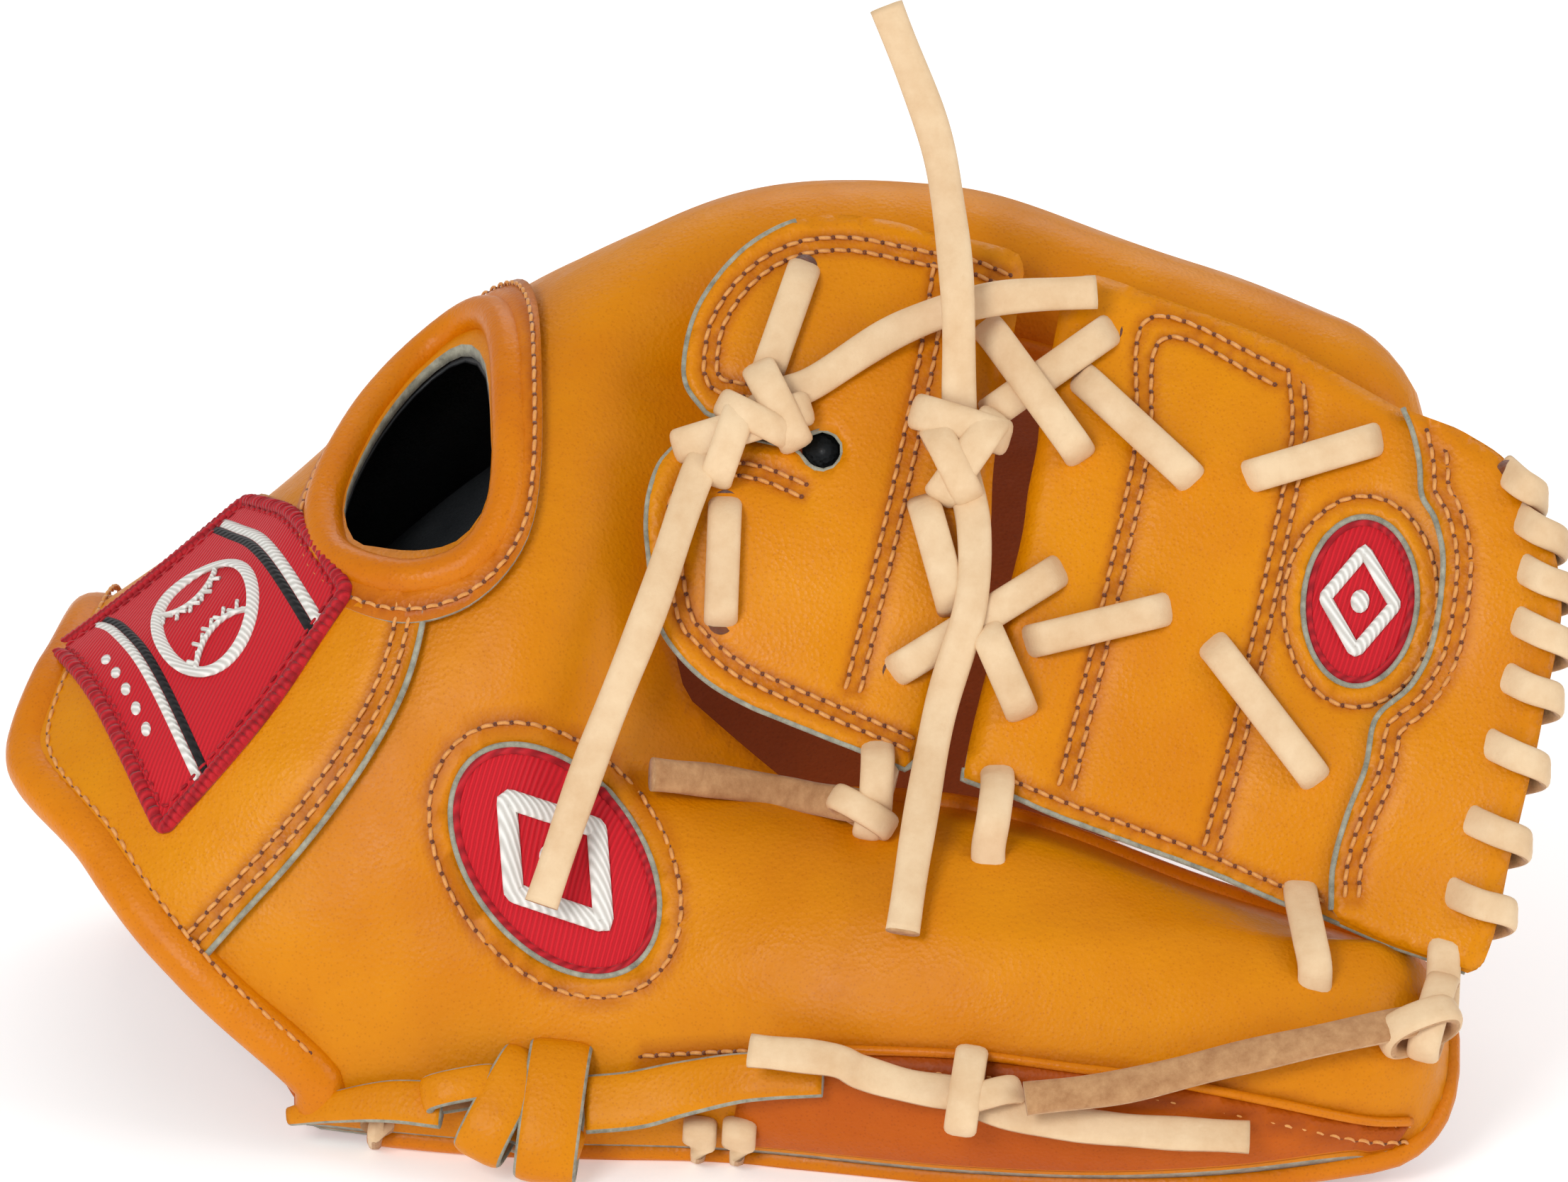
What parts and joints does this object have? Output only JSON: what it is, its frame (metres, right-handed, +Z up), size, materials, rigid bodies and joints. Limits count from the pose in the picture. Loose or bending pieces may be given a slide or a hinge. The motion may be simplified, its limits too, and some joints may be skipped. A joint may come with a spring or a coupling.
{
  "type": "baseball glove",
  "caption": "Leather baseball glove resting palm-down: laced two-panel web, separate finger stalls, back opening, wrist strap with emblem patch and hanging rawhide ends.",
  "frame": {"origin": "on the floor under the middle of the glove's box, free lace ends left out", "axes": "+X from wrist to finger tips, +Y from the thumb side to the pinky side, +Z up"},
  "size_m": [0.2958, 0.2084, 0.1999],
  "materials": {
    "shell_leather": "satin",
    "palm_leather": "satin",
    "liner_leather": "matte",
    "back_lining": "matte",
    "rawhide_lace": "matte",
    "strap_leather": "matte",
    "felt": "matte",
    "emblem": "matte"
  },
  "bodies": {
    "palm": {"hand_back": "shell_leather", "back_opening_roll": "shell_leather", "hand_back_lining": "back_lining", "index_back": "shell_leather", "middle_back": "shell_leather", "palm_centre": "palm_leather", "index_palm": "palm_leather", "middle_palm": "palm_leather", "palm_liner": "liner_leather", "felt_palm_pad": "felt", "wrist_strap": "shell_leather", "wrist_binding": "shell_leather", "emblem_patch": "emblem", "tip_web_panel": "shell_leather", "crotch_web_panel": "shell_leather", "web_tip_binding": "shell_leather", "web_oval": "emblem", "web_lace_upper": "rawhide_lace", "web_lace_lower": "rawhide_lace", "web_lace_tip_upper": "rawhide_lace", "web_lace_tip_lower": "rawhide_lace", "crotch_lace": "rawhide_lace", "whip_lace": "rawhide_lace", "heel_lace": "rawhide_lace", "finger_lace_index_middle": "rawhide_lace", "knot_a": "rawhide_lace", "knot_b": "rawhide_lace", "tail_a_up": "rawhide_lace", "tail_a_down": "rawhide_lace", "tail_b_up": "rawhide_lace", "tail_b_down": "rawhide_lace"},
    "thumb_side": {"thumb_hand_back": "shell_leather", "thumb_back": "shell_leather", "palm_thumb_side": "palm_leather", "thumb_palm": "palm_leather", "thumb_heel_pad": "felt", "thumb_edge_roll": "palm_leather", "thumb_oval": "emblem", "thumb_strap_left": "strap_leather", "thumb_strap_knot": "strap_leather", "thumb_strap_right": "strap_leather", "knot_c": "rawhide_lace", "tail_c": "rawhide_lace", "knot_d": "rawhide_lace", "tail_d": "rawhide_lace", "knot_e": "rawhide_lace", "tail_e_left": "rawhide_lace", "tail_e_right": "rawhide_lace", "web_thumb_lace_inner": "rawhide_lace", "web_thumb_lace_middle": "rawhide_lace", "web_thumb_lace_outer": "rawhide_lace"},
    "pinky_side": {"pinky_hand_back": "shell_leather", "ring_back": "shell_leather", "pinky_back": "shell_leather", "palm_pinky_side": "palm_leather", "ring_palm": "palm_leather", "pinky_palm": "palm_leather", "pinky_heel_pad": "felt", "pinky_edge_roll": "palm_leather", "finger_lace_ring_pinky": "rawhide_lace"}
  },
  "joints": [
    {"name": "thumb_close", "type": "hinge", "parent": "palm", "child": "thumb_side", "pos_m": [-0.11136, -0.05189, 0.0196], "axis": [0.9309, 0.0827, 0.3558], "range_deg": [-2, 20], "deforming": ["web_thumb_lace_inner", "web_thumb_lace_middle", "web_thumb_lace_outer", "tail_a_down"]},
    {"name": "pinky_close", "type": "hinge", "parent": "palm", "child": "pinky_side", "pos_m": [-0.12736, 0.01751, 0.039], "axis": [-0.9919, -0.0705, -0.1058], "range_deg": [-2, 12]}
  ]
}
